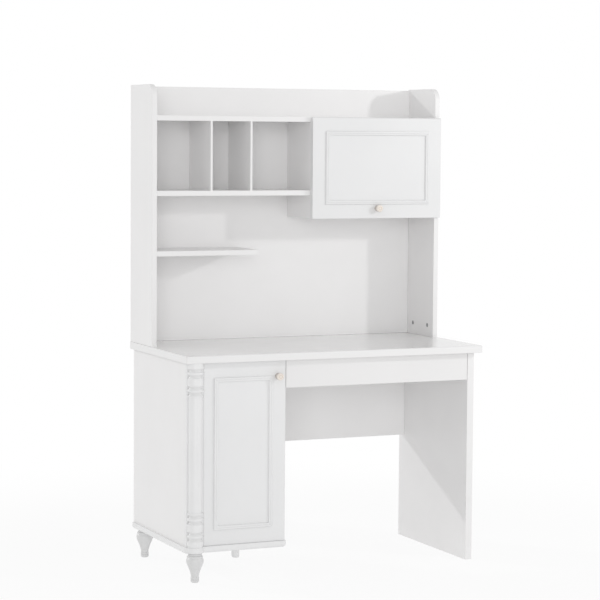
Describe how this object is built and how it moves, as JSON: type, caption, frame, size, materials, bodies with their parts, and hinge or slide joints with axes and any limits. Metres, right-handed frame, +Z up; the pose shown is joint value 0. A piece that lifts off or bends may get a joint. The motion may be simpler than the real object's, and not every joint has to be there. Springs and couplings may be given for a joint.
{
  "type": "student desk with hutch",
  "caption": "Writing desk with a door pedestal, turned corner post and feet, a leg panel, and a shelf hutch with pigeonholes and a lift-up flap cabinet.",
  "frame": {"origin": "on the floor, under the middle of the worktop", "axes": "+Z up, the front faces -Y, +X to the sitter's right"},
  "size_m": [1.11, 0.56, 1.66],
  "materials": {
    "white_board": "satin white foil on board",
    "white_door": "satin white lacquer",
    "white_moulding": "satin white lacquer",
    "white_foot": "satin white lacquer",
    "ivory_knob": "gloss ivory",
    "steel": "zinc plated",
    "cam_metal": "die cast, dull",
    "beech_dowel": "bare beech",
    "clear_bumper": "translucent silicone",
    "white_plastic": "matte"
  },
  "bodies": {
    "desk": {"angle_brackets": "steel", "apron_rail": "white_board", "back_screws": "steel", "base_plate": "white_moulding", "bracket_screws": "steel", "cabinet_bottom": "white_board", "cabinet_partition": "white_board", "cam_bolts": "steel", "cam_locks": "cam_metal", "catch_screws": "steel", "corner_post": "white_moulding", "desk_dowels": "beech_dowel", "door_hinge_arms": "steel", "flap_hinge_arms": "steel", "foot_bolts": "steel", "front_foot": "white_foot", "hinge_screws": "steel", "hutch_back_panel": "white_board", "hutch_dowels": "beech_dowel", "hutch_left_side": "white_board", "hutch_right_side": "white_board", "left_divider": "white_board", "leg_panel": "white_board", "low_shelf": "white_board", "magnetic_catch": "white_plastic", "middle_shelf": "white_board", "modesty_panel": "white_board", "pedestal_back": "white_board", "pedestal_bottom": "white_board", "pedestal_front_stile": "white_board", "pedestal_left_side": "white_board", "pedestal_partition": "white_board", "pedestal_shelf": "white_board", "pedestal_top_rail": "white_board", "plain_foot": "white_foot", "rear_foot": "white_foot", "right_divider": "white_board", "shelf_pegs": "steel", "top_shelf": "white_board", "worktop": "white_board"},
    "door": {"catch_strike": "steel", "door_bumpers": "clear_bumper", "door_hinge_cups": "steel", "door_hinge_pins": "steel", "door_knob": "ivory_knob", "door_knob_screw": "steel", "door_moulding": "white_moulding", "door_panel": "white_door"},
    "flap": {"flap_bumpers": "clear_bumper", "flap_hinge_cups": "steel", "flap_hinge_pins": "steel", "flap_knob": "ivory_knob", "flap_knob_screw": "steel", "flap_moulding": "white_moulding", "flap_panel": "white_door"}
  },
  "joints": [
    {"name": "door_hinge", "type": "hinge", "parent": "desk", "child": "door", "pos_m": [-0.4754, -0.241, 0.428], "axis": [0, 0, -1], "range_deg": [0, 90]},
    {"name": "flap_hinge", "type": "hinge", "parent": "desk", "child": "flap", "pos_m": [0.2945, 0.051, 1.545], "axis": [-1, 0, 0], "range_deg": [0, 90]}
  ]
}
